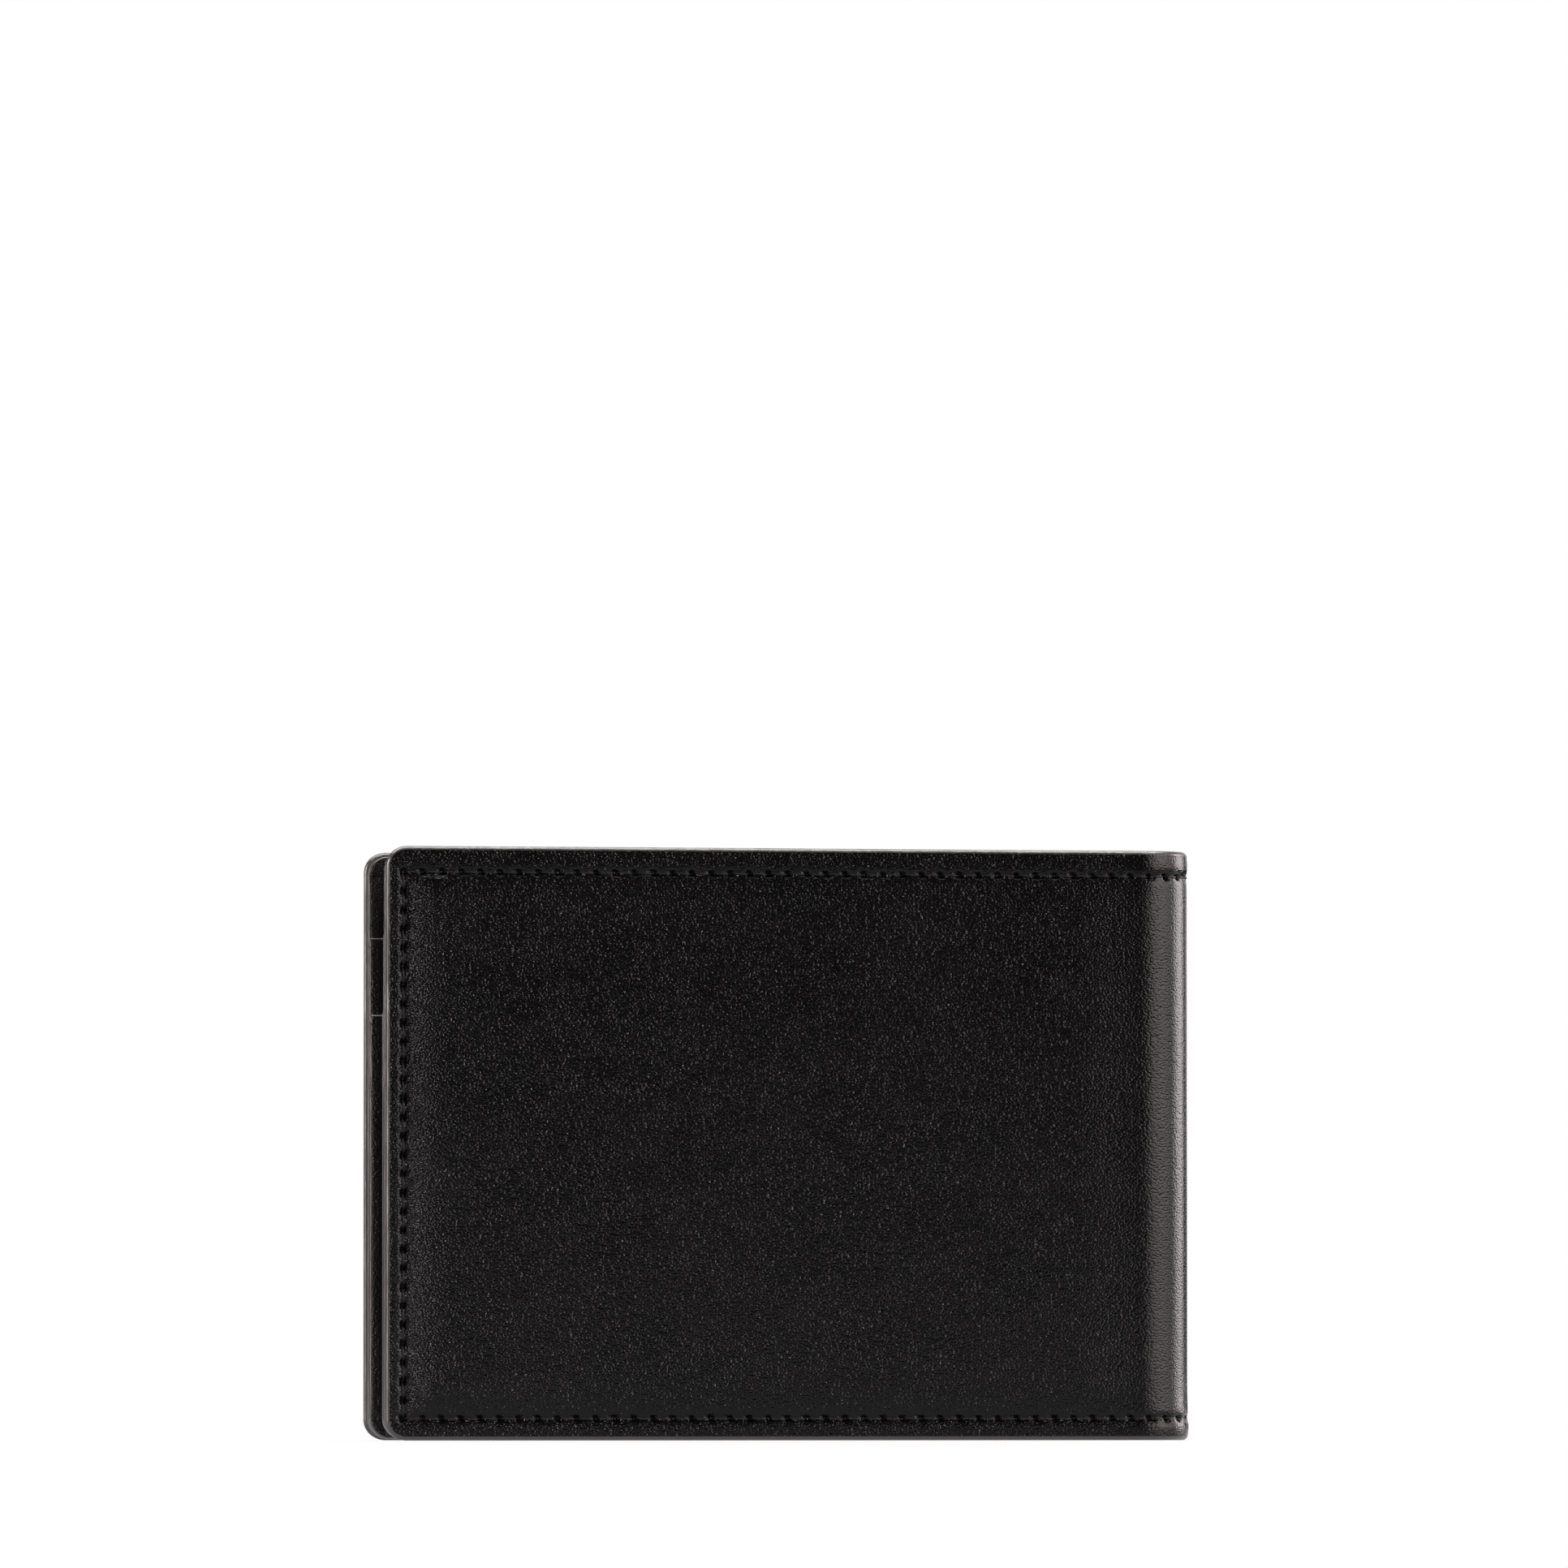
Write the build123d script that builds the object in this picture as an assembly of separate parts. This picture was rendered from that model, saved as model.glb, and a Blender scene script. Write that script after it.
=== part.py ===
from build123d import *
import math
import os

# Bifold wallet, folded shut and standing on its bottom edge.
# Millimetres. +Z up, X along the folded width with the fold at +X, Y through
# the thickness with the front cover at -Y. Origin: centre of the bottom.
#
# Each half is a stack of flat layers, sewn together on the outer side and
# along the bottom. From the outside in: padded leather cover, lining, note
# compartment, inner wall, slip pocket, pocket base, upper card pocket, lower
# card pocket. The cover, the lining and the inner wall run on round the fold.
# Leather bends there, so each of the three is cut at two crease lines into a
# back length, a fold length and a front length that turn about those lines.

WIDTH = 110.0            # folded width, outer edge to the thread round the fold
HEIGHT = 78.4            # cover height
THICK = 18.0             # over the padded covers
CORNER_R = 2.7           # rounded corners at the open side

PAD_RISE = 0.6           # how far the padded field stands above the sewn border
COVER_T = 1.0            # cover leather
LINING_T = 0.25          # lining cloth
NOTE_GAP = 0.4           # note compartment, empty
WALL_T = 0.35            # inner wall of the note compartment
SLIP_GAP = 0.15          # slip pocket, empty
BASE_T = 0.5             # pocket base leather
SLOT_GAP = 0.15          # card slot, empty
UPPER_T = 0.5            # upper card pocket
LOWER_T = 0.55           # lower card pocket

FOLD_R = 8.0             # outer radius of the cover round the fold
STITCH_SIDE = 2.2        # stitch line from the outer edge
STITCH_IN = 2.9          # stitch line from the bottom
STITCH_IN_TOP = 3.4      # stitch line from the top
PAD_IN = 3.6             # edge of the padded field from the cover's edge
PAD_IN_TOP = 4.2         # and from its top
PAD_END_X = 44.0         # the padding stops here, before the fold
PAD_WRAP = 0.8           # leather round the edge of the padding

INNER_TOP = 77.8         # top of the wall and of the pocket base
UPPER_TOP = 66.8         # mouth of the upper card slot
LOWER_TOP = 56.5         # mouth of the lower card slot
BAND_BOTTOM = 47.0       # lower edge of the upper pocket's leather band
TAIL_BOTTOM = 21.0       # lower edge of its cloth tail
TAIL_IN = 6.0            # the tail is this much narrower at each side
POCKET_END_X = 43.0      # pockets stop here, before the fold
SEAM_W = 3.6             # sewn-down margin of each layer
LIFT = 0.2               # inner layers stop this far above the bottom edge

THREAD_W = 0.5           # sewn row, as wide as the thread
THREAD_H = 0.2           # and as high as it stands on the leather

CREASE_GAP = 0.15        # half the clearance at each crease line
HINGE_OUT = 6.0          # crease axis from the fold's centre, along X and Y

HALF = WIDTH / 2
BORDER_Y = THICK / 2 - PAD_RISE
CX = HALF - THREAD_H - FOLD_R  # centre of the fold's bend
CY = BORDER_Y - FOLD_R
LEFT = -HALF

# depths below the sewn border's outer surface
D_COVER = COVER_T
D_LINING = D_COVER + LINING_T
D_NOTE = D_LINING + NOTE_GAP
D_WALL = D_NOTE + WALL_T
D_SLIP = D_WALL + SLIP_GAP
D_BASE = D_SLIP + BASE_T
D_SLOT1 = D_BASE + SLOT_GAP
D_UPPER = D_SLOT1 + UPPER_T
D_SLOT2 = D_UPPER + SLOT_GAP
D_LOWER = D_SLOT2 + LOWER_T


def polar(r, deg):
    return (CX + r * math.cos(math.radians(deg)), CY + r * math.sin(math.radians(deg)))


def crease_angle(r, side):
    # angle at which a circle of radius r meets the crease plane, moved off it by the clearance
    return 45 + side * math.degrees(math.asin(CREASE_GAP / r))


def half_layer(d0, d1, z0, z1, x0=LEFT, corner=CORNER_R):
    """A layer of the back half from depth d0 to d1, with its lip up to the crease."""
    ro, ri = FOLD_R - d0, FOLD_R - d1
    ao, ai = crease_angle(ro, 1), crease_angle(ri, 1)
    edges = [
        Line((x0, CY + ro), (CX, CY + ro)),
        ThreePointArc((CX, CY + ro), polar(ro, (90 + ao) / 2), polar(ro, ao)),
        Line(polar(ro, ao), polar(ri, ai)),
        ThreePointArc(polar(ri, ai), polar(ri, (90 + ai) / 2), (CX, CY + ri)),
        Line((CX, CY + ri), (x0, CY + ri)),
        Line((x0, CY + ri), (x0, CY + ro)),
    ]
    solid = extrude(make_face(edges), z1 - z0, dir=(0, 0, 1)).moved(Location((0, 0, z0)))
    if corner:
        solid = fillet(solid.edges().filter_by(Axis.Y).group_by(Axis.X)[0], corner)
    return solid


def fold_layer(d0, d1, z0, z1):
    """The same layer between the two creases, round the fold."""
    ro, ri = FOLD_R - d0, FOLD_R - d1
    ao, ai = crease_angle(ro, -1), crease_angle(ri, -1)

    def low(p):
        return (p[0], -p[1])

    edges = [
        ThreePointArc(polar(ro, ao), polar(ro, ao / 2), polar(ro, 0)),
        Line(polar(ro, 0), low(polar(ro, 0))),
        ThreePointArc(low(polar(ro, 0)), low(polar(ro, ao / 2)), low(polar(ro, ao))),
        Line(low(polar(ro, ao)), low(polar(ri, ai))),
        ThreePointArc(low(polar(ri, ai)), low(polar(ri, ai / 2)), low(polar(ri, 0))),
        Line(low(polar(ri, 0)), polar(ri, 0)),
        ThreePointArc(polar(ri, 0), polar(ri, ai / 2), polar(ri, ai)),
        Line(polar(ri, ai), polar(ro, ao)),
    ]
    return extrude(make_face(edges), z1 - z0, dir=(0, 0, 1)).moved(Location((0, 0, z0)))


def block(x0, x1, d0, d1, z0, z1):
    """A box of the back half between depths d0 and d1."""
    return Box(x1 - x0, d1 - d0, z1 - z0, align=(Align.MIN, Align.MAX, Align.MIN)).moved(
        Location((x0, BORDER_Y - d0, z0))
    )


def round_outer(solid, r, top=True, bottom=True):
    """Rounds the plate's corners at its outer edge."""
    e = solid.edges().filter_by(Axis.Y).group_by(Axis.X)[0].sort_by(Axis.Z)
    lowest = e[0].center().Z
    highest = e[-1].center().Z
    chosen = [
        k
        for k in e
        if (top and abs(k.center().Z - highest) < 1e-6)
        or (bottom and abs(k.center().Z - lowest) < 1e-6)
    ]
    return fillet(chosen, r)


# --- one half, built as the back half ---------------------------------------
pad = (LEFT + PAD_IN, PAD_END_X, PAD_IN, HEIGHT - PAD_IN_TOP)  # x0, x1, z0, z1

cover = half_layer(0, D_COVER, 0, HEIGHT)
cover = cover + block(pad[0], pad[1], -PAD_RISE, 0.2, pad[2], pad[3])
hollow = (
    pad[0] + PAD_WRAP,
    pad[1] - PAD_WRAP,
    COVER_T - PAD_RISE,
    COVER_T,
    pad[2] + PAD_WRAP,
    pad[3] - PAD_WRAP,
)
cover = cover - block(*hollow)
padding = block(*hollow)

lining = half_layer(D_COVER, D_LINING, LIFT, HEIGHT - LIFT)

note_seam_side = round_outer(
    block(LEFT, LEFT + SEAM_W, D_LINING, D_NOTE, LIFT, INNER_TOP), CORNER_R
)
note_seam_bottom = half_layer(D_LINING, D_NOTE, LIFT, LIFT + SEAM_W, x0=LEFT + SEAM_W, corner=0)

wall = half_layer(D_NOTE, D_WALL, LIFT, INNER_TOP)

# The slip pocket is open towards the fold and sewn on its other three sides.
base = round_outer(block(LEFT, POCKET_END_X, D_WALL, D_BASE, LIFT, INNER_TOP), CORNER_R)
base = base - block(
    LEFT + SEAM_W, POCKET_END_X, D_WALL, D_SLIP, LIFT + SEAM_W, INNER_TOP - SEAM_W
)

# The upper pocket is a full-width leather band with ears sewn at both ends,
# and a narrower cloth tail sewn to the base along its lower edge.
band = block(LEFT, POCKET_END_X, D_BASE, D_UPPER, BAND_BOTTOM, UPPER_TOP)
band = band - block(
    LEFT + SEAM_W, POCKET_END_X - SEAM_W, D_BASE, D_SLOT1, BAND_BOTTOM, UPPER_TOP
)
tail = block(
    LEFT + TAIL_IN, POCKET_END_X - TAIL_IN, D_BASE, D_UPPER, TAIL_BOTTOM, BAND_BOTTOM
)
tail = tail - block(
    LEFT + TAIL_IN, POCKET_END_X - TAIL_IN, D_BASE, D_SLOT1, TAIL_BOTTOM + 2, BAND_BOTTOM
)

# The lower pocket is one leather sheet sewn on three sides. Its sewn margin
# steps down to the base below the band.
lower = round_outer(
    block(LEFT, POCKET_END_X, D_BASE, D_LOWER, LIFT, LOWER_TOP), CORNER_R, top=False
)
lower = lower - block(
    LEFT + SEAM_W, POCKET_END_X - SEAM_W, D_BASE, D_SLOT2, LIFT + SEAM_W, LOWER_TOP
)
lower = lower - block(
    LEFT - 1, POCKET_END_X + 1, D_BASE, D_UPPER, BAND_BOTTOM, LOWER_TOP
)

sx = LEFT + STITCH_SIDE
top_z = HEIGHT - STITCH_IN_TOP
hw = THREAD_W / 2
cover_thread = [
    half_layer(-THREAD_H, 0, top_z - hw, top_z + hw, x0=sx - hw, corner=0),
    block(sx - hw, sx + hw, -THREAD_H, 0, STITCH_IN + hw, top_z - hw),
    half_layer(-THREAD_H, 0, STITCH_IN - hw, STITCH_IN + hw, x0=sx - hw, corner=0),
]
inner_top_z = INNER_TOP - STITCH_IN
seam_thread = [
    block(sx - hw, POCKET_END_X - 2.5 + hw, D_BASE, D_BASE + THREAD_H, inner_top_z - hw, inner_top_z + hw),
    block(sx - hw, sx + hw, D_BASE, D_BASE + THREAD_H, UPPER_TOP + 0.3, inner_top_z - hw),
    block(sx - hw, sx + hw, D_UPPER, D_UPPER + THREAD_H, LOWER_TOP + 0.3, UPPER_TOP - 0.6),
    block(sx - hw, sx + hw, D_LOWER, D_LOWER + THREAD_H, STITCH_IN + hw, LOWER_TOP - 0.6),
    block(sx - hw, POCKET_END_X - 2.5 - hw, D_LOWER, D_LOWER + THREAD_H, STITCH_IN - hw, STITCH_IN + hw),
]
px = POCKET_END_X - 2.5
pocket_thread = [
    block(px - hw, px + hw, D_UPPER, D_UPPER + THREAD_H, LOWER_TOP + 0.3, UPPER_TOP - 0.6),
    block(px - hw, px + hw, D_LOWER, D_LOWER + THREAD_H, STITCH_IN - hw, LOWER_TOP - 0.6),
]

half = {
    "cover": cover,
    "cover_padding": padding,
    "cover_lining": lining,
    "note_pocket_seam": Compound(children=[Solid(note_seam_side.solid().wrapped), Solid(note_seam_bottom.solid().wrapped)]),
    "note_pocket_wall": wall,
    "pocket_base": base,
    "upper_card_pocket": band,
    "upper_pocket_tail": tail,
    "lower_card_pocket": lower,
    "cover_thread": Compound(children=[Solid(s.solid().wrapped) for s in cover_thread]),
    "seam_thread": Compound(children=[Solid(s.solid().wrapped) for s in seam_thread]),
    "pocket_thread": Compound(children=[Solid(s.solid().wrapped) for s in pocket_thread]),
}

# --- the fold ----------------------------------------------------------------
fold = {
    "fold_cover": fold_layer(0, D_COVER, 0, HEIGHT),
    "fold_lining": fold_layer(D_COVER, D_LINING, LIFT, HEIGHT - LIFT),
    "fold_note_pocket_seam": fold_layer(D_LINING, D_NOTE, LIFT, LIFT + SEAM_W),
    "fold_note_pocket_wall": fold_layer(D_NOTE, D_WALL, LIFT, INNER_TOP),
    "fold_thread": Compound(
        children=[
            Solid(s.solid().wrapped)
            for s in (
                fold_layer(-THREAD_H, 0, top_z - hw, top_z + hw),
                fold_layer(-THREAD_H, 0, STITCH_IN - hw, STITCH_IN + hw),
            )
        ]
    ),
}

os.makedirs("parts", exist_ok=True)
for name, shape in half.items():
    export_step(shape, f"parts/back_{name}.step")
    export_step(mirror(shape, about=Plane.XZ), f"parts/front_{name}.step")
for name, shape in fold.items():
    export_step(shape, f"parts/{name}.step")

print("crease axes at x", CX + HINGE_OUT, "y +/-", CY + HINGE_OUT)
print("slot faces at y", BORDER_Y - D_LOWER, "border at", BORDER_Y)
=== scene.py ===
import math

import bpy
import numpy as np
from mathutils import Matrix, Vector


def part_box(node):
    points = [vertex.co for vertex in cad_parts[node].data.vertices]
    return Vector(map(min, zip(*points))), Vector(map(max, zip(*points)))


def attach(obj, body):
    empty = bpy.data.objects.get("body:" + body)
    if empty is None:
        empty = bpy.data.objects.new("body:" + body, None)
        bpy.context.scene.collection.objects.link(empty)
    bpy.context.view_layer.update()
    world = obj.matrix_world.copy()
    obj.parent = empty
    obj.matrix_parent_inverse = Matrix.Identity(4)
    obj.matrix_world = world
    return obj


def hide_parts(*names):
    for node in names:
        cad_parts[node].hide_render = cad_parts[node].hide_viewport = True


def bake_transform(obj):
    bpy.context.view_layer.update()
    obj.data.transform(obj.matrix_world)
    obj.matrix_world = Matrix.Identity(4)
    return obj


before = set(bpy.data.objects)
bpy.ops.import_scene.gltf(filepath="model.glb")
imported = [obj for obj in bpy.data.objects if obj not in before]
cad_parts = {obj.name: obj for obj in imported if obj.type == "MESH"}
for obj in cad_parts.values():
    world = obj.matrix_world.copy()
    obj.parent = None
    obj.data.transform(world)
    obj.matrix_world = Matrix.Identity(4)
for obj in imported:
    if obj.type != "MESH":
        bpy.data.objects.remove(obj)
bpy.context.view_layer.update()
MM = 0.001

# ---------------------------------------------------------------- sizes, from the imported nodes
c0, c1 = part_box("back_cover")
f0, f1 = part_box("fold_cover")
t0, t1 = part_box("back_cover_thread")
b0, b1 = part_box("back_pocket_base")
u0, u1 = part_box("back_upper_card_pocket")
l0, l1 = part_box("back_lower_card_pocket")
LEFT = c0[0] / MM
H = c1[2] / MM
FULL_Y = c1[1] / MM
PAD = 0.6
BORDER = FULL_Y - PAD
R = 8.0
CX = f1[0] / MM - R
CY = BORDER - R
STITCH_SIDE = t0[0] / MM + 0.25 - LEFT
STITCH_BOTTOM = t0[2] / MM + 0.25
STITCH_TOP = H - t1[2] / MM + 0.25
INNER_TOP = b1[2] / MM
POCKET_END = b1[0] / MM
UPPER_TOP = u1[2] / MM
LOWER_TOP = l1[2] / MM
BAND_BOTTOM = u0[2] / MM
LIFT = b0[2] / MM
P_END = CX + R * math.pi / 2 + CY          # length along the cover to the middle of the fold
P_ARC = CX + R * math.pi / 2

# ---------------------------------------------------------------- noise


def smooth(t):
    t = np.clip(t, 0, 1)
    return t * t * (3 - 2 * t)


def noise(x, y, size, seed):
    """Smooth value noise from -1 to 1 with cells of the given size."""
    lattice = np.random.RandomState(seed).uniform(-1, 1, (256, 256))
    x, y = x / size + 71.3, y / size + 37.7
    xi, yi = np.floor(x).astype(int), np.floor(y).astype(int)
    fx, fy = smooth(x - xi), smooth(y - yi)
    a, b = lattice[xi % 256, yi % 256], lattice[(xi + 1) % 256, yi % 256]
    c, d = lattice[xi % 256, (yi + 1) % 256], lattice[(xi + 1) % 256, (yi + 1) % 256]
    return (a * (1 - fx) + b * fx) * (1 - fy) + (c * (1 - fx) + d * fx) * fy


def gauss(x, w):
    return np.exp(-((x / w) ** 2))


# ---------------------------------------------------------------- where things are
# p runs along the cover from the open side to the middle of the fold, z up, and
# d inward from the sewn border's outer face. All in millimetres, for the back half.


def place(p, z, d):
    psi = np.clip((p - CX) / R, 0, math.pi / 2)
    x = np.where(p < CX, p, CX + (R - d) * np.sin(psi))
    y = np.where(p < CX, BORDER - d, CY + (R - d) * np.cos(psi))
    y = y - np.clip(p - P_ARC, 0, None)
    return np.stack([x, y, z + 0 * p], -1)


def outward(p):
    psi = np.clip((p - CX) / R, 0, math.pi / 2)
    return np.stack([np.sin(psi), np.cos(psi), 0 * p], -1)


def along(p):
    psi = np.clip((p - CX) / R, 0, math.pi / 2)
    return np.stack([np.cos(psi), -np.sin(psi), 0 * p], -1)


def make(name, verts, faces, rest, half, materials, mat_index=None, sharp=()):
    """A mesh object in metres. half is 1 for the back, -1 for the front, which is the mirror image."""
    verts = np.array(verts, float)
    if half > 0:
        # the back half's top edge runs down a little towards its open side
        verts[:, 2] -= 0.40 * (verts[:, 2] / H) ** 4 * smooth((24 - verts[:, 0]) / 78)
    verts *= MM
    if half < 0:
        verts[:, 1] *= -1
    me = bpy.data.meshes.new(name)
    me.from_pydata(verts.tolist(), [], faces)
    me.update()
    me.calc_loop_triangles()
    tri = np.zeros(len(me.loop_triangles) * 3, int)
    me.loop_triangles.foreach_get("vertices", tri)
    t = verts[tri.reshape(-1, 3)]
    if np.einsum("ij,ij->i", t[:, 0], np.cross(t[:, 1], t[:, 2])).sum() < 0:
        me.flip_normals()
    rest = np.array(rest, float) * MM
    if half < 0:
        rest[:, 0] = 2 * P_END * MM - rest[:, 0]
    at = me.attributes.new("rest", "FLOAT_VECTOR", "POINT")
    at.data.foreach_set("vector", rest.astype(np.float32).ravel())
    for m in materials:
        me.materials.append(m)
    if mat_index is not None:
        me.polygons.foreach_set("material_index", np.array(mat_index, int))
    me.polygons.foreach_set("use_smooth", np.ones(len(me.polygons), bool))
    if len(sharp):
        pairs = set(sharp)
        for e in me.edges:
            if tuple(sorted(e.vertices)) in pairs:
                e.use_edge_sharp = True
    ob = bpy.data.objects.new(name, me)
    bpy.context.scene.collection.objects.link(ob)
    return ob


def lines(a, b, step, dense=(), fine=0.2):
    """Grid lines from a to b about a step apart, closer round the given places."""
    n = 4000
    t = np.linspace(a, b, n)
    want = np.full(n, step)
    for where, width, *size in dense:
        near = size[0] if size else fine
        want = np.minimum(want, near + (step - near) * smooth((np.abs(t - where) - width) / width))
    need = np.concatenate([[0], np.cumsum((1 / want[1:] + 1 / want[:-1]) / 2 * np.diff(t))])
    count = max(int(round(need[-1] / 4)) * 4, 8)
    return np.interp(np.linspace(0, need[-1], count + 1), need, t)


def layer(name, half, ps, zs, d_out, d_in, materials, corners=(2.7, 2.7), edge=0.2, cut=False,
          fine="out", rim_steps=6, rim_bulge=None, far_corners=(0, 0), bevel=1.0, side_edge=None):
    """A sheet of leather or cloth: outer face d_out(p, z), inner face d_in(p, z), rounded edges, closed.
    cut means its far end is the middle of the fold, where the other half's layer carries on."""
    inset_p, inset_z = side_edge or edge, edge

    def shrink(t, ends, inset):
        """Draw the lines in by the rim's width at the given ends, closing up over three widths."""
        a, b, t = t[0], t[-1], t.copy()
        near, far = t - a, b - t
        if ends[0]:
            t = np.where(near < 3 * inset, a + inset + near * 2 / 3, t)
        if ends[1]:
            t = np.where(far < 3 * inset, b - inset - far * 2 / 3, t)
        return t

    ps, zs = shrink(ps, (True, not cut), inset_p), shrink(zs, (True, True), inset_z)
    p0, p1, z0, z1 = ps[0], ps[-1], zs[0], zs[-1]
    corners = [(max(r - inset_p, 0), max(r - inset_z, 0)) for r in corners]
    far_corners = [(max(r - inset_p, 0), max(r - inset_z, 0)) for r in far_corners]
    P, Z = np.meshgrid(ps, zs, indexing="ij")
    P, Z = P.copy(), Z.copy()
    NP, NZ = np.zeros_like(P), np.zeros_like(P)
    NP[0, :] = -1
    NZ[:, 0] = -1
    NZ[:, -1] = 1
    NP[0, 0] = NP[0, -1] = 0
    if not cut:
        NP[-1, :] = 1
        NP[-1, 0] = NP[-1, -1] = 0

    def corner(r, sp, sz, cp, cz):
        rp, rz = r
        a, b = sp * (P - (cp - sp * rp)) / rp, sz * (Z - (cz - sz * rz)) / rz
        a, b = np.round(a, 9), np.round(b, 9)
        zone = (a >= 0) & (b >= 0)
        m = np.maximum(a, b)
        big = np.maximum(m, 1e-9)
        phi = np.where(a >= b, math.pi / 4 * b / big, math.pi / 2 - math.pi / 4 * a / big)
        P[zone] = (cp - sp * rp + sp * rp * m * np.cos(phi))[zone]
        Z[zone] = (cz - sz * rz + sz * rz * m * np.sin(phi))[zone]
        rim = zone & (m > 1 - 1e-6)
        NP[rim] = (sp * np.cos(phi))[rim]
        NZ[rim] = (sz * np.sin(phi))[rim]

    for r, sp, sz, cp, cz in (
        (corners[0], -1, -1, p0, z0), (corners[1], -1, 1, p0, z1),
        (far_corners[0], 1, -1, p1, z0), (far_corners[1], 1, 1, p1, z1),
    ):
        if min(r) > 0:
            corner(r, sp, sz, cp, cz)
        elif not (cut and sp > 0):
            i, j = (0 if sp < 0 else -1), (0 if sz < 0 else -1)
            NP[i, j], NZ[i, j] = sp * 0.7071, sz * 0.7071

    nu, nv = P.shape
    Do, Di = d_out(P, Z) + 0 * P, d_in(P, Z) + 0 * P
    fi = np.arange(nu) if fine in ("out", "both") else np.arange(0, nu, 4)
    fj = np.arange(nv) if fine in ("out", "both") else np.arange(0, nv, 4)
    gi = np.arange(nu) if fine in ("in", "both") else np.arange(0, nu, 4)
    gj = np.arange(nv) if fine in ("in", "both") else np.arange(0, nv, 4)
    verts, rest, faces, index = [], [], [], []

    def add(p, z, d):
        n = sum(len(v) for v in verts)
        verts.append(place(p, z, d).reshape(-1, 3))
        rest.append(np.stack([p, d, z], -1).reshape(-1, 3))
        return n

    def grid(start, ni, nj, flip):
        k = start + np.arange(ni * nj).reshape(ni, nj)
        q = np.stack([k[:-1, :-1], k[1:, :-1], k[1:, 1:], k[:-1, 1:]], -1).reshape(-1, 4)
        if flip:
            q = q[:, ::-1]
        faces.extend(q.tolist())
        index.extend([0] * len(q))
        return k

    po, zo, do_ = (a[np.ix_(fi, fj)] for a in (P, Z, Do))
    ko = grid(add(po.ravel(), zo.ravel(), do_.ravel()), len(fi), len(fj), False)
    pi_, zi_, di_ = (a[np.ix_(gi, gj)] for a in (P, Z, Di))
    ki = grid(add(pi_.ravel(), zi_.ravel(), di_.ravel()), len(gi), len(gj), True)

    def loop_ids(ni, nj):
        """Boundary cells of an ni by nj grid, counter-clockwise from (0, 0), as (i, j)."""
        a = [(i, 0) for i in range(ni - 1)] + [(ni - 1, j) for j in range(nj - 1)]
        a += [(i, nj - 1) for i in range(ni - 1, 0, -1)] + [(0, j) for j in range(nj - 1, 0, -1)]
        return np.array(a)

    full = loop_ids(nu, nv)
    bi, bj = full[:, 0], full[:, 1]
    lp, lz, lnp, lnz = P[bi, bj], Z[bi, bj], NP[bi, bj], NZ[bi, bj]
    ldo, ldi = Do[bi, bj], Di[bi, bj]
    steps = rim_steps
    rings = []
    for k in range(1, steps):
        phi = math.pi * k / steps
        out = np.sin(phi) ** bevel
        more = 0.0 if rim_bulge is None else rim_bulge(lp, lz, k / steps) * np.sin(phi)
        d = ldo + (ldi - ldo) * (1 - math.copysign(abs(math.cos(phi)) ** bevel, math.cos(phi))) / 2
        s = add(lp + lnp * (inset_p * out + more), lz + lnz * inset_z * out, d)
        rings.append(s + np.arange(len(full)))
    cut_edge = np.zeros(len(full), bool)
    if cut:
        cut_edge = (bi == nu - 1) & (np.roll(bi, -1) == nu - 1)

    def loop_of(k, ni, nj, is_fine):
        ids = loop_ids(ni, nj)
        return k[ids[:, 0], ids[:, 1]]

    outer_fine, inner_fine = fine in ("out", "both"), fine in ("in", "both")
    lo_, li_ = loop_of(ko, len(fi), len(fj), outer_fine), loop_of(ki, len(gi), len(gj), inner_fine)
    chain = rings

    def quads(a, b, flip):
        a2, b2 = np.roll(a, -1), np.roll(b, -1)
        q = np.stack([a, b, b2, a2], -1)
        if flip:
            q = q[:, ::-1]
        faces.extend(q.tolist())
        index.extend(np.where(cut_edge, 0, 1).tolist())

    def join_coarse(coarse, fine_ring, flip):
        m = len(coarse)
        for c in range(m):
            seg = fine_ring[c * 4:(c + 1) * 4 + 1]
            if len(seg) < 5:
                seg = np.append(seg, fine_ring[0])
            f = [int(coarse[c])] + [int(v) for v in seg] + [int(coarse[(c + 1) % m])]
            faces.append(f[::-1] if flip else f)
            index.append(0 if cut_edge[c * 4] else 1)

    if outer_fine:
        quads(lo_, chain[0], False)
    else:
        join_coarse(lo_, chain[0], False)
    for a, b in zip(chain[:-1], chain[1:]):
        quads(a, b, False)
    if inner_fine:
        quads(chain[-1], li_, False)
    else:
        join_coarse(li_, chain[-1], True)
    sharp = []
    if cut:
        for k, n_i, n_j in ((ko, len(fi), len(fj)), (ki, len(gi), len(gj))):
            col = k[-1, :]
            sharp += [tuple(sorted((int(a), int(b)))) for a, b in zip(col[:-1], col[1:])]
        first = [i for i in range(len(full)) if bi[i] == nu - 1 and bj[i] in (0, nv - 1)]
        for i in first:
            col = [int(ko[-1, 0 if bj[i] == 0 else -1])] + [int(r[i]) for r in chain] + [
                int(ki[-1, 0 if bj[i] == 0 else -1])]
            sharp += [tuple(sorted(e)) for e in zip(col[:-1], col[1:])]
    ob = make(name, np.concatenate(verts), faces, np.concatenate(rest), half,
              materials, index, sharp)
    return ob


# ---------------------------------------------------------------- stitches

PITCH = 2.6


def row(a, b, pitch=PITCH):
    """Hole positions from a to b."""
    n = max(int(round(abs(b - a) / pitch)), 1)
    return np.linspace(a, b, n + 1)


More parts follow.
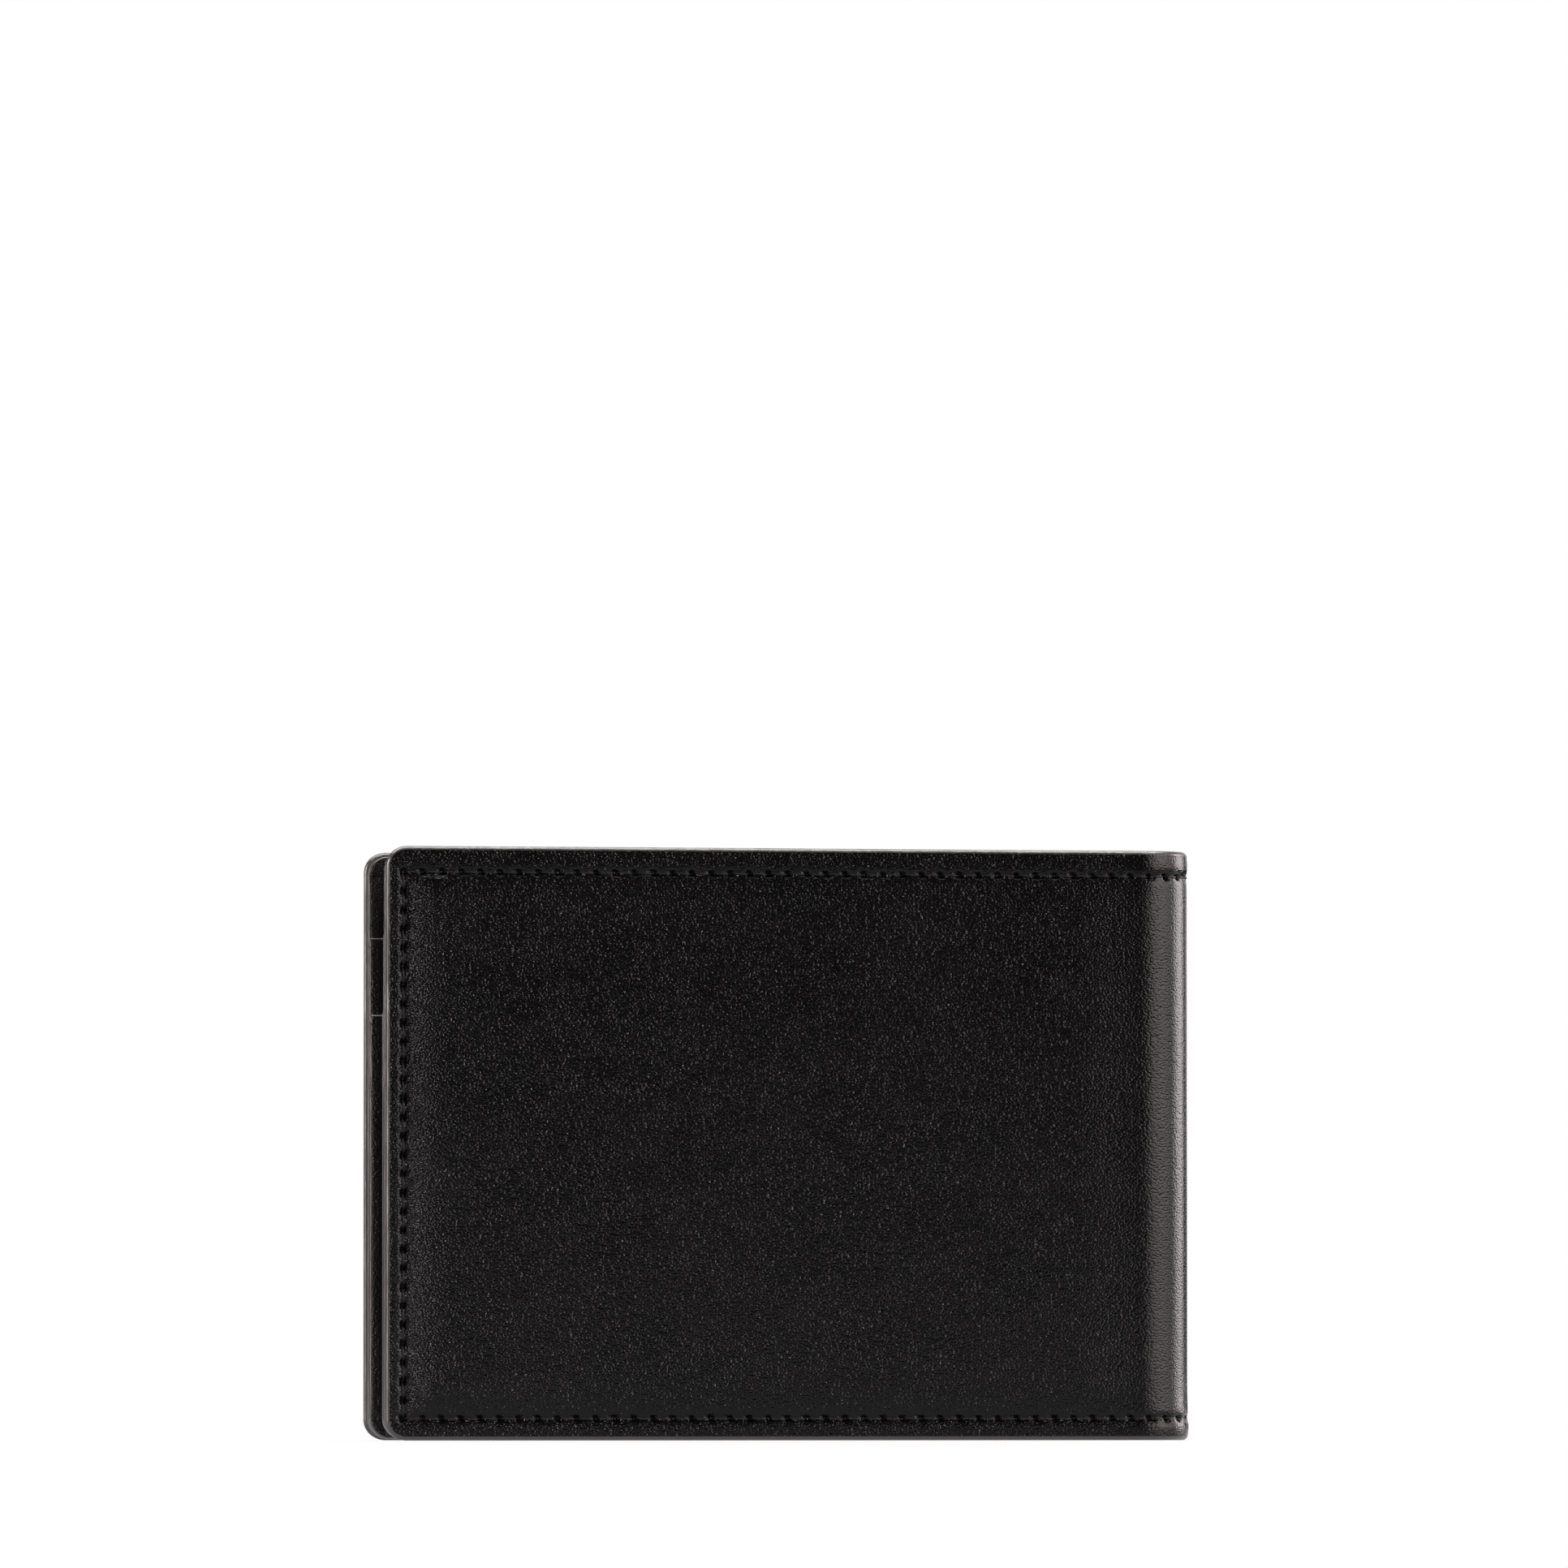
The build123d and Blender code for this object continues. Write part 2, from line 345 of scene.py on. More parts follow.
ROW_TOP = H - STITCH_TOP
ROW_SIDE = LEFT + STITCH_SIDE
holes_p = row(ROW_SIDE, P_END - PITCH / 2)      # one stitch then crosses the middle of the fold
PITCH_P = (holes_p[-1] - holes_p[0]) / (len(holes_p) - 1)
holes_p = np.append(holes_p, 2 * P_END - holes_p[-1])
holes_z = row(STITCH_BOTTOM, ROW_TOP, 2.5)


def stitch_mesh(name, half, stitches, material, radius=0.18, inward=False):
    """stitches: rows of (p0, z0, p1, z1, d of the leather there). Each is a short two-ply strand with both ends in the leather."""
    verts, rest, faces = [], [], []
    nt, na = 13, 10
    t = np.linspace(0, 1, nt)
    ang = np.linspace(0, 2 * math.pi, na, endpoint=False)
    count = 0
    way = -1.0 if inward else 1.0
    for k, (p0, z0, p1, z1, d0) in enumerate(stitches):
        length = math.hypot(p1 - p0, z1 - z0)
        ends = 0.16 / length
        tt = ends + (1 - 2 * ends) * t
        p, z = p0 + (p1 - p0) * tt, z0 + (z1 - z0) * tt
        lift = np.sin(math.pi * t) ** 0.45
        d = d0 + way * (0.42 * (1 - lift) - 0.02 * lift)
        e = (p1 - p0) / length * along(p) + (z1 - z0) / length * np.array([0, 0, 1.0])
        up = outward(p) * way
        side = np.cross(e, up)
        twist = 2 * math.pi * (length * tt[:, None] / 1.5) + k * 1.7
        r = radius * (1 + 0.13 * np.cos(2 * (ang[None, :] - twist))) * (0.45 + 0.55 * np.sin(math.pi * np.clip(t, 0.06, 0.94)) ** 0.4)[:, None]
        centre = place(p, z, d)
        v = centre[:, None, :] + r[..., None] * (
            np.cos(ang)[None, :, None] * side[:, None, :] + np.sin(ang)[None, :, None] * up[:, None, :])
        verts.append(v.reshape(-1, 3))
        rr = np.stack([np.repeat(p, na), np.repeat(d, na), np.repeat(z, na)], -1)
        rest.append(rr)
        q = count + np.arange(nt * na).reshape(nt, na)
        q2 = np.roll(q, -1, axis=1)
        faces.extend(np.stack([q[:-1], q2[:-1], q2[1:], q[1:]], -1).reshape(-1, 4).tolist())
        faces.append(q[0][::-1].tolist())
        faces.append(q[-1].tolist())
        count += nt * na
    return make(name, np.concatenate(verts), faces, np.concatenate(rest), half, [material])


# ---------------------------------------------------------------- materials


def nodes_of(name):
    m = bpy.data.materials.new(name)
    m.use_nodes = True
    nt = m.node_tree
    nt.nodes.clear()
    out = nt.nodes.new("ShaderNodeOutputMaterial")
    b = nt.nodes.new("ShaderNodeBsdfPrincipled")
    nt.links.new(b.outputs[0], out.inputs[0])
    return m, nt, b


def rest_coords(nt):
    n = nt.nodes.new("ShaderNodeAttribute")
    n.attribute_name = "rest"
    return n.outputs["Vector"]


def mapped(nt, source, scale, loc=(0, 0, 0)):
    n = nt.nodes.new("ShaderNodeMapping")
    n.inputs["Scale"].default_value = scale
    n.inputs["Location"].default_value = loc
    nt.links.new(source, n.inputs["Vector"])
    return n.outputs[0]


def noise_node(nt, vec, scale, detail=3.0, rough=0.55, distortion=0.0):
    n = nt.nodes.new("ShaderNodeTexNoise")
    n.inputs["Scale"].default_value = scale
    n.inputs["Detail"].default_value = detail
    n.inputs["Roughness"].default_value = rough
    n.inputs["Distortion"].default_value = distortion
    nt.links.new(vec, n.inputs["Vector"])
    return n.outputs["Fac"]


def voronoi(nt, vec, scale, feature="F1", randomness=1.0, smoothness=None):
    n = nt.nodes.new("ShaderNodeTexVoronoi")
    n.feature = feature
    n.inputs["Scale"].default_value = scale
    n.inputs["Randomness"].default_value = randomness
    if smoothness is not None:
        n.inputs["Smoothness"].default_value = smoothness
    nt.links.new(vec, n.inputs["Vector"])
    return n.outputs["Distance"]


def ramp(nt, fac, stops):
    n = nt.nodes.new("ShaderNodeValToRGB")
    el = n.color_ramp.elements
    while len(el) > 1:
        el.remove(el[-1])
    el[0].position, el[0].color = stops[0][0], (*stops[0][1], 1)
    for pos, col in stops[1:]:
        e = el.new(pos)
        e.color = (*col, 1)
    nt.links.new(fac, n.inputs["Fac"])
    return n.outputs["Color"]


def math_node(nt, op, a, b):
    n = nt.nodes.new("ShaderNodeMath")
    n.operation = op
    for i, v in enumerate((a, b)):
        if isinstance(v, (int, float)):
            n.inputs[i].default_value = v
        else:
            nt.links.new(v, n.inputs[i])
    return n.outputs[0]


def map_range(nt, v, a, b, c, d):
    n = nt.nodes.new("ShaderNodeMapRange")
    nt.links.new(v, n.inputs["Value"])
    for key, val in zip(("From Min", "From Max", "To Min", "To Max"), (a, b, c, d)):
        n.inputs[key].default_value = val
    return n.outputs["Result"]


def bump(nt, height, distance, strength=1.0, normal=None):
    n = nt.nodes.new("ShaderNodeBump")
    n.inputs["Strength"].default_value = strength
    n.inputs["Distance"].default_value = distance
    nt.links.new(height, n.inputs["Height"])
    if normal is not None:
        nt.links.new(normal, n.inputs["Normal"])
    return n.outputs["Normal"]


def leather(name, low, high, grain=1.0, cell=0.00028, rough=(0.16, 0.21), depth=0.00008, level=0.19, wrinkles=0.0):
    """Pebbled hide: small domed pebbles, finer wrinkles beside the sewn open side, and uneven wax."""
    m, nt, b = nodes_of(name)
    rest = rest_coords(nt)
    # the pebbles are drawn out a little along the wallet's width
    v = mapped(nt, rest, (0.78, 1.0, 1.12))
    warp = nt.nodes.new("ShaderNodeTexNoise")
    warp.inputs["Scale"].default_value = 900
    warp.inputs["Detail"].default_value = 2
    nt.links.new(v, warp.inputs["Vector"])
    mix = nt.nodes.new("ShaderNodeVectorMath")
    mix.operation = "MULTIPLY_ADD"
    nt.links.new(warp.outputs["Color"], mix.inputs[0])
    mix.inputs[1].default_value = (0.00012, 0.00012, 0.00012)
    nt.links.new(v, mix.inputs[2])
    pebble = voronoi(nt, mix.outputs[0], 1 / cell, "SMOOTH_F1", randomness=0.9, smoothness=0.25)
    domed = math_node(nt, "MULTIPLY", pebble, pebble)
    fine = noise_node(nt, v, 3600, 2.0, 0.6)
    uneven = noise_node(nt, v, 300, 3.0, 0.6)
    broad = noise_node(nt, v, 70, 4.0, 0.6)
    # the pebbles stand higher in some places than in others
    height = math_node(nt, "MULTIPLY", domed, map_range(nt, uneven, 0.3, 0.7, -1.1, -0.9))
    height = math_node(nt, "ADD", height, math_node(nt, "MULTIPLY", fine, 0.08))
    if wrinkles:
        sep = nt.nodes.new("ShaderNodeSeparateXYZ")
        nt.links.new(rest, sep.inputs[0])
        # stretched round the fold, the pebbles flatten
        off = math_node(nt, "ABSOLUTE", math_node(nt, "SUBTRACT", sep.outputs[0], P_END * MM), 0.0)
        height = math_node(nt, "MULTIPLY", height, map_range(nt, off, 0.009, 0.017, 0.42, 1.0))
        x_back, x_front = LEFT * MM, (2 * P_END - LEFT) * MM
        near = math_node(nt, "MAXIMUM",
                         map_range(nt, sep.outputs[0], x_back + 0.003, x_back + 0.014, 1.0, 0.0),
                         map_range(nt, sep.outputs[0], x_front - 0.014, x_front - 0.003, 0.0, 1.0))
        fold = noise_node(nt, mapped(nt, rest, (0.30, 1.0, 1.0)), 1500, 2.0, 0.5, distortion=0.4)
        crease = math_node(nt, "MULTIPLY", fold, math_node(nt, "MULTIPLY", near, wrinkles))
        height = math_node(nt, "ADD", height, crease)
    n1 = bump(nt, height, depth * grain, 1.0)
    n2 = bump(nt, broad, 0.00010, 0.3, n1)
    nt.links.new(n2, b.inputs["Normal"])
    colour = ramp(nt, broad, [(0.3, low), (0.7, high)])
    nt.links.new(colour, b.inputs["Base Color"])
    patch = noise_node(nt, v, 45, 5.0, 0.65)
    nt.links.new(map_range(nt, patch, 0.3, 0.7, rough[0], rough[1]), b.inputs["Roughness"])
    b.inputs["Specular IOR Level"].default_value = level
    return m


def edge_paint(name, colour, stripe=True):
    m, nt, b = nodes_of(name)
    rest = rest_coords(nt)
    drag = noise_node(nt, mapped(nt, rest, (1.0, 6.0, 0.25)), 900, 3.0, 0.6)
    soft = noise_node(nt, rest, 160, 3.0, 0.5)
    nt.links.new(bump(nt, soft, 0.00010, 0.6, bump(nt, drag, 0.00004, 0.7)), b.inputs["Normal"])
    nt.links.new(ramp(nt, soft, [(0.3, tuple(c * 0.8 for c in colour)), (0.7, tuple(c * 1.25 for c in colour))]),
                 b.inputs["Base Color"])
    nt.links.new(map_range(nt, drag, 0.3, 0.7, 0.24, 0.40), b.inputs["Roughness"])
    b.inputs["Specular IOR Level"].default_value = 0.75
    return m


def cloth(name, low, high, thread=0.00022):
    """Plain weave: the two sets of threads cross in the sheet's own plane."""
    m, nt, b = nodes_of(name)
    rest = rest_coords(nt)
    sep = nt.nodes.new("ShaderNodeSeparateXYZ")
    nt.links.new(rest, sep.inputs[0])
    k = math.pi / thread
    sx = math_node(nt, "SINE", math_node(nt, "MULTIPLY", sep.outputs[0], k), 0.0)
    sz = math_node(nt, "SINE", math_node(nt, "MULTIPLY", sep.outputs[2], k), 0.0)
    ax = math_node(nt, "ABSOLUTE", sx, 0.0)
    az = math_node(nt, "ABSOLUTE", sz, 0.0)
    over = math_node(nt, "MULTIPLY", sx, sz)
    weave = math_node(nt, "ADD", math_node(nt, "MULTIPLY", ax, az), math_node(nt, "MULTIPLY", over, 0.4))
    slub = noise_node(nt, mapped(nt, rest, (0.3, 1, 1.5)), 700, 4.0, 0.6)
    h = math_node(nt, "ADD", weave, math_node(nt, "MULTIPLY", slub, 0.7))
    nt.links.new(bump(nt, h, 0.00005, 0.9), b.inputs["Normal"])
    # the base colour follows the weave's height: the darker dips between threads are painted shade, and the slub adds a
    # random tone
    nt.links.new(ramp(nt, map_range(nt, h, 0.0, 1.6, 0, 1), [(0.1, low), (0.9, high)]), b.inputs["Base Color"])
    nt.links.new(map_range(nt, slub, 0.3, 0.7, 0.62, 0.8), b.inputs["Roughness"])
    b.inputs["Sheen Weight"].default_value = 0.25
    b.inputs["Sheen Roughness"].default_value = 0.5
    return m


def thread_material(name, low, high):
    m, nt, b = nodes_of(name)
    rest = rest_coords(nt)
    fibre = noise_node(nt, rest, 6500, 3.0, 0.6)
    tone = noise_node(nt, rest, 420, 2.0, 0.5)
    nt.links.new(bump(nt, fibre, 0.00004, 0.8), b.inputs["Normal"])
    nt.links.new(ramp(nt, tone, [(0.3, low), (0.7, high)]), b.inputs["Base Color"])
    nt.links.new(map_range(nt, fibre, 0.3, 0.7, 0.42, 0.62), b.inputs["Roughness"])
    b.inputs["Specular IOR Level"].default_value = 0.25
    return m


M_COVER = leather("cover_leather", (0.0013, 0.00115, 0.0012), (0.0024, 0.0021, 0.0022), wrinkles=0.45)
M_POCKET = leather("pocket_leather", (0.0036, 0.0033, 0.0034), (0.0060, 0.0055, 0.0057), grain=0.7, cell=0.00028, rough=(0.26, 0.34))
M_EDGE = edge_paint("edge_paint", (0.020, 0.0178, 0.018))
M_LINING = cloth("lining_cloth", (0.006, 0.0055, 0.006), (0.020, 0.0185, 0.0195))
M_WALL = leather("wall_leather", (0.0036, 0.0033, 0.0034), (0.0060, 0.0055, 0.0057), grain=0.5, cell=0.00026, rough=(0.32, 0.42))
M_PAD = cloth("padding_fibre", (0.30, 0.29, 0.28), (0.48, 0.47, 0.45), thread=0.0006)
M_THREAD = thread_material("thread", (0.0035, 0.0032, 0.0033), (0.007, 0.0064, 0.0066))


# ---------------------------------------------------------------- the cover's shape


def hole_marks(P, Z):
    """How deep in a stitch hole a point is, 0 to 1. The awl leaves slanted slits, leaning the same way along every row."""
    out = np.zeros_like(P)

    def slit(a, b, angle, long, short):
        u = a * math.cos(angle) + b * math.sin(angle)
        v = -a * math.sin(angle) + b * math.cos(angle)
        return np.exp(-((np.abs(u) / long + np.abs(v) / short) ** 2.2))

    k = np.clip(np.searchsorted((holes_p[1:] + holes_p[:-1]) / 2, P), 0, len(holes_p) - 1)
    for n, zr in enumerate((ROW_TOP, STITCH_BOTTOM)):
        size = 1 + 0.16 * np.sin(2.3 * k + 1.9 * n) * np.cos(5.1 * k)
        lean = math.radians(-30)
        out = np.maximum(out, slit(P - holes_p[k], Z - zr, lean, 0.66 * size, 0.38 * size))
    k = np.clip(np.searchsorted((holes_z[1:] + holes_z[:-1]) / 2, Z), 0, len(holes_z) - 1)
    size = 1 + 0.16 * np.sin(1.7 * k + 0.6) * np.cos(4.3 * k)
    out = np.maximum(out, slit(P - ROW_SIDE, Z - holes_z[k], math.radians(60), 0.72 * size, 0.40 * size))
    return out


def row_distance(P, Z):
    """Distance to the nearest sewn row, and how far inside the rows a point is."""
    inside_z = np.minimum(Z - STITCH_BOTTOM, ROW_TOP - Z)
    inside = np.minimum(P - ROW_SIDE, inside_z)
    return np.abs(inside), inside


def dome(P, Z):
    """How far the padded field stands above the sewn border."""
    a = np.clip(P - ROW_SIDE, 0, None)
    b = np.clip(Z - STITCH_BOTTOM, 0, None)
    c = np.clip(ROW_TOP - Z, 0, None)

    def rise(x, w):
        return 1 - np.exp(-(x / w) ** 1.25)

    field = rise(a, 3.0) * rise(b, 2.6) * rise(c, 2.6)
    # fullest beside the open side, and gone where the fold begins to turn
    fullness = 1.0 + 0.30 * np.exp(-np.clip(a - 2, 0, None) / 7.0)
    towards_fold = 1 - smooth((P - 37.5) / 13.5)
    return PAD * field * fullness * towards_fold


def cover_out(seed):
    def f(P, Z):
        dist, inside = row_distance(P, Z)
        h = dome(P, Z)
        # sewn rows press a soft groove, deepest at the holes
        h = h - 0.13 * gauss(dist, 0.50) - 0.62 * hole_marks(P, Z)
        border = np.clip(-inside, 0, None)
        h = h + 0.09 * np.sin(np.clip(border / 2.6, 0, 1) * math.pi) * (inside < 0)
        # puckers running inward from each hole
        near_z = np.exp(-np.clip(P - ROW_SIDE, 0, None) / 4.0) * smooth((P - ROW_SIDE + 0.4) / 1.0)
        h = h + near_z * (0.050 * noise(P * 0.22, Z, 1.25, seed) + 0.030 * noise(P * 0.3, Z, 0.8, seed + 8))
        near_t = np.exp(-np.clip(ROW_TOP - Z, 0, None) / 1.8) * (Z < ROW_TOP + 0.2)
        near_b = np.exp(-np.clip(Z - STITCH_BOTTOM, 0, None) / 1.8) * (Z > STITCH_BOTTOM - 0.2)
        fade = smooth((P_END - P) / 8)
        h = h + (near_t + near_b) * 0.022 * noise(P, Z * 0.3, 1.7, seed + 1) * fade
        # the two corners of the padded field puff up, with creases fanning out of them
        for zc, full in ((ROW_TOP - 3.4, 0.42), (STITCH_BOTTOM + 3.4, 0.30)):
            a, b = P - (ROW_SIDE + 3.8), (Z - zc)
            r = np.hypot(a, b)
            h = h + full * gauss(r, 2.7) * (inside > 0) * smooth(inside / 1.2)
            th = np.arctan2(b, a)
            h = h + 0.035 * np.sin(15 * th + 2.2 * noise(P, Z, 3.0, seed + 2)) * gauss(r - 3.2, 2.6) * (inside > 0.3)
        # slack in the hide
        h = h + (0.05 * noise(P, Z * 0.8, 21.0, seed + 3) + 0.018 * noise(P, Z, 6.5, seed + 4)) * smooth(inside / 6) * fade
        # the hide bears down on the fold's two ends, and flares a little where it stands
        h = h + smooth((P - CX - 1) / 6) * (0.10 * gauss(Z - 2.6, 2.6) - 0.05 * gauss(Z - ROW_TOP, 1.2))
        return -h
    return f


def cover_in(P, Z):
    d = 1.0 - np.clip(dome(P, Z) - 0.02, 0, None)
    return d


objs = {}


def bend(ob, half):
    if half > 0:
        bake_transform(ob)
    else:
        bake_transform(ob)


def with_last(ps, gap=0.03):
    """The last line but one sits right beside the middle of the fold, so both halves shade alike there."""
    ps = ps.copy()
    ps[-2] = ps[-1] - gap
    return ps


for half, side, body in ((1, "back", "back_half"), (-1, "front", "front_half")):
    seed = 11 if half > 0 else 29
    step = 0.42
    # -- cover
    at_p, at_z = [(x, 0.32, 0.17) for x in holes_p], [(z, 0.36, 0.17) for z in holes_z]
    ps = with_last(lines(LEFT, P_END, step, [(ROW_SIDE, 0.5, 0.15), (LEFT + 0.2, 0.5)] + at_p, 0.2))
    zs = lines(0, H, step, [(ROW_TOP, 0.45, 0.15), (STITCH_BOTTOM, 0.45, 0.15), (0.2, 0.4), (H - 0.2, 0.4)] + at_z, 0.2)
    ob = layer(f"cover_{side}", half, ps, zs, cover_out(seed), cover_in, [M_COVER, M_EDGE],
               edge=0.52, side_edge=0.30, cut=True, fine="out", rim_steps=12, bevel=1.45,
               rim_bulge=lambda p, z, t, k=0.22 if half > 0 else 0.10: k * smooth((LEFT + 6 - p) / 6))
    bend(ob, half)
    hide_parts(f"{side}_cover", "fold_cover")

    # -- padding, a thin crowned pad between the cover and its lining
    ps2 = lines(LEFT + 3.4, 43.2, 1.0)
    zs2 = lines(4.0, H - 4.4, 1.0)
    ob = layer(f"padding_{side}", half, ps2, zs2,
               lambda P, Z: np.minimum(cover_in(P, Z) + 0.03, 0.955),
               lambda P, Z: 0.985 + 0 * P, [M_PAD, M_PAD], edge=0.05, corners=(2.5, 2.5),
               far_corners=(2.5, 2.5), fine="out", rim_steps=4)
    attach(ob, body)
    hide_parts(f"{side}_cover_padding")

    # -- lining of the cover
    ps3 = with_last(lines(LEFT + 0.12, P_END, 1.0, [(CX + 6, 8)], 0.6))
    zs3 = lines(LIFT, H - 0.25, 1.0)
    ob = layer(f"lining_{side}", half, ps3, zs3,
               lambda P, Z: 1.02 + 0 * P, lambda P, Z: 1.23 + 0 * P, [M_LINING, M_LINING],
               edge=0.06, cut=True, fine="both", rim_steps=4)
    bend(ob, half)
    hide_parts(f"{side}_cover_lining", "fold_lining")

    # -- the sewn seam that closes the note compartment at the side and the bottom
    seam = 3.6
    ob = layer(f"note_seam_side_{side}", half, lines(LEFT + 0.06, LEFT + seam, 0.4), lines(LIFT, INNER_TOP, 1.0),
               lambda P, Z: 1.25 + 0 * P, lambda P, Z: 1.63 + 0 * P, [M_POCKET, M_EDGE], edge=0.14,
               fine="both", rim_steps=4)
    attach(ob, body)
    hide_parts(f"{side}_note_pocket_seam")
    ob = layer(f"note_seam_bottom_{side}", half, with_last(lines(LEFT + seam + 0.02, P_END, 1.0, [(CX + 6, 8)], 0.6)),
               lines(LIFT, LIFT + seam, 0.4), lambda P, Z: 1.25 + 0 * P, lambda P, Z: 1.63 + 0 * P,
               [M_POCKET, M_EDGE], corners=(0, 0), edge=0.14, cut=True, fine="both", rim_steps=4)
    bend(ob, half)
    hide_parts(f"{side}_note_pocket_seam", "fold_note_pocket_seam")

    # -- inner wall of the note compartment
    ob = layer(f"note_wall_{side}", half, with_last(lines(LEFT + 0.03, P_END, 0.8, [(CX + 6, 8)], 0.5)),
               lines(LIFT, INNER_TOP, 0.8), lambda P, Z: 1.66 + 0 * P,
               lambda P, Z: 1.98 - 0.03 * gauss(Z - (INNER_TOP - 1.3), 0.35) * (P > POCKET_END + 0.5),
               [M_WALL, M_EDGE], edge=0.13, cut=True, fine="both", rim_steps=4)
    bend(ob, half)
    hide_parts(f"{side}_note_pocket_wall", "fold_note_pocket_wall")

    # -- pocket base, whose slip pocket opens towards the fold
    def margins(P, Z, top=INNER_TOP, w=3.6, end=None):
        m = np.minimum(P - LEFT, np.minimum(Z - LIFT, top - Z))
        if end is not None:
            m = np.minimum(m, end - P)
        return smooth((m - w + 0.6) / 1.2)

    in_rows = STITCH_BOTTOM

    def inner_row_groove(P, Z, z_low, z_high, side_p, end_p=None):
        g = gauss(P - side_p, 0.5) * (Z > z_low) * (Z < z_high)
        return g

    top_row = INNER_TOP - 2.9
    pe = POCKET_END - 2.5
    side_p = ROW_SIDE

    def base_in(P, Z, sd=seed):
        h = 0.05 * margins(P, Z) * (1 + 0.6 * noise(P, Z, 16, sd + 5))
        h = h - 0.13 * np.maximum(gauss(P - side_p, 0.5), gauss(Z - top_row, 0.5) * (P < pe + 0.6))
        h = h - 0.03 * gauss(Z - (INNER_TOP - 1.2), 0.22) * (P > LEFT + 1.2)
        return 2.64 + h

    ob = layer(f"pocket_base_{side}", half, lines(LEFT, POCKET_END, 0.7, [(side_p, 0.7), (POCKET_END - 0.3, 0.5)], 0.25),
               lines(LIFT, INNER_TOP, 0.7, [(top_row, 0.7), (INNER_TOP - 1.2, 0.5)], 0.25),
               lambda P, Z: 2.01 + 0.14 * margins(P, Z), base_in, [M_POCKET, M_EDGE], edge=0.22,
               fine="in", rim_steps=6)
    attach(ob, body)
    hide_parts(f"{side}_pocket_base")

    # -- upper card pocket: leather band, then its cloth tail
    def band_in(P, Z, sd=seed):
        ends = np.minimum(P - LEFT, POCKET_END - P)
        h = 0.05 * smooth((ends - 3) / 2) * (1 + 0.6 * noise(P, Z, 18, sd + 6))
        h = h - 0.13 * np.maximum(gauss(P - side_p, 0.5), gauss(P - pe, 0.5))
        h = h - 0.045 * gauss(Z - (UPPER_TOP - 1.5), 0.2)
        return 3.27 + h

    def band_out(P, Z):
        ends = np.minimum(P - LEFT, POCKET_END - P)
        return 2.67 + 0.13 * smooth((ends - 3.0) / 1.2)

    band_p = lines(LEFT, POCKET_END, 0.6, [(side_p, 0.7), (pe, 0.7)], 0.25)
    ob = layer(f"upper_card_pocket_{side}", half, band_p,
               lines(BAND_BOTTOM, UPPER_TOP, 0.5, [(UPPER_TOP - 1.5, 0.5)], 0.2), band_out, band_in,
               [M_POCKET, M_EDGE], corners=(0, 0), edge=0.22, fine="in", rim_steps=6)
    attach(ob, body)
    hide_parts(f"{side}_upper_card_pocket")
    tail0, tail1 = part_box(f"{side}_upper_pocket_tail")
    tx0, tx1, tz0, tz1 = tail0[0] / MM, tail1[0] / MM, tail0[2] / MM, tail1[2] / MM
    ob = layer(f"upper_pocket_tail_{side}", half, lines(tx0, tx1, 1.2), lines(tz0, tz1 - 0.05, 1.0),
               lambda P, Z: 2.72 + 0.1 * smooth((Z - tz0) / 3), lambda P, Z: 2.98 + 0.1 * smooth((Z - tz0) / 3),
               [M_LINING, M_LINING], corners=(0, 0), edge=0.08, fine="both", rim_steps=4)
    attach(ob, body)
    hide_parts(f"{side}_upper_pocket_tail")

    # -- lower card pocket
    def lower_in(P, Z, sd=seed):
        ends = np.minimum(np.minimum(P - LEFT, POCKET_END - P), Z - LIFT)
        h = 0.06 * smooth((ends - 3) / 3) * (1 + 0.6 * noise(P, Z, 20, sd + 7))
        h = h - 0.13 * np.maximum(np.maximum(gauss(P - side_p, 0.5), gauss(P - pe, 0.5)), gauss(Z - STITCH_BOTTOM, 0.5))
        h = h - 0.045 * gauss(Z - (LOWER_TOP - 1.5), 0.2)
        # the card band's lower edge shows through as a soft step
        h = h - 0.05 * (1 - smooth((Z - BAND_BOTTOM + 1.5) / 3)) * smooth((ends - 2) / 3)
        return 3.93 + h

    def lower_out(P, Z):
        ends = np.minimum(np.minimum(P - LEFT, POCKET_END - P), Z - LIFT)
        field = 3.40 * smooth((ends - 2.8) / 1.2)
        margin = np.where(Z > BAND_BOTTOM, 3.32, 2.67)
        margin = 2.67 + 0.65 * smooth((Z - BAND_BOTTOM + 0.25) / 0.2)
        s = smooth((ends - 2.8) / 1.2)
        return margin * (1 - s) + 3.43 * s

    ob = layer(f"lower_card_pocket_{side}", half, band_p,
               lines(LIFT, LOWER_TOP, 0.6, [(LOWER_TOP - 1.5, 0.5), (STITCH_BOTTOM, 0.7)], 0.22),
               lower_out, lower_in, [M_POCKET, M_EDGE], corners=(2.7, 0), edge=0.24, fine="in", rim_steps=8)
    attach(ob, body)
    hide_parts(f"{side}_lower_card_pocket")

    # -- sewn rows on the cover
    rows = []
    slant = 0.14
    d_row = 0.20
    usable = holes_p if half > 0 else holes_p[:-1]
    for zr in (ROW_TOP, STITCH_BOTTOM):
        for a, b in zip(usable[:-1], usable[1:]):
            rows.append((a, zr + slant, b, zr - slant, d_row))
    for a, b in zip(holes_z[:-1], holes_z[1:]):
        rows.append((ROW_SIDE + slant * 0.8, a, ROW_SIDE - slant * 0.8, b, d_row))
    # the strand that crosses the middle of the fold belongs to the back
    ob = stitch_mesh(f"cover_stitches_{side}", half, rows, M_THREAD)
    bend(ob, half)
    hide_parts(f"{side}_cover_thread", "fold_thread")

    # -- sewn rows on the pockets
    rows = []

    def add_row(a, b, fixed, vertical, d):
        h = row(a, b, 2.6)
        for x, y in zip(h[:-1], h[1:]):
            if vertical:
                rows.append((fixed - 0.1, x, fixed + 0.1, y, d))
            else:
                rows.append((x, fixed - 0.1, y, fixed + 0.1, d))

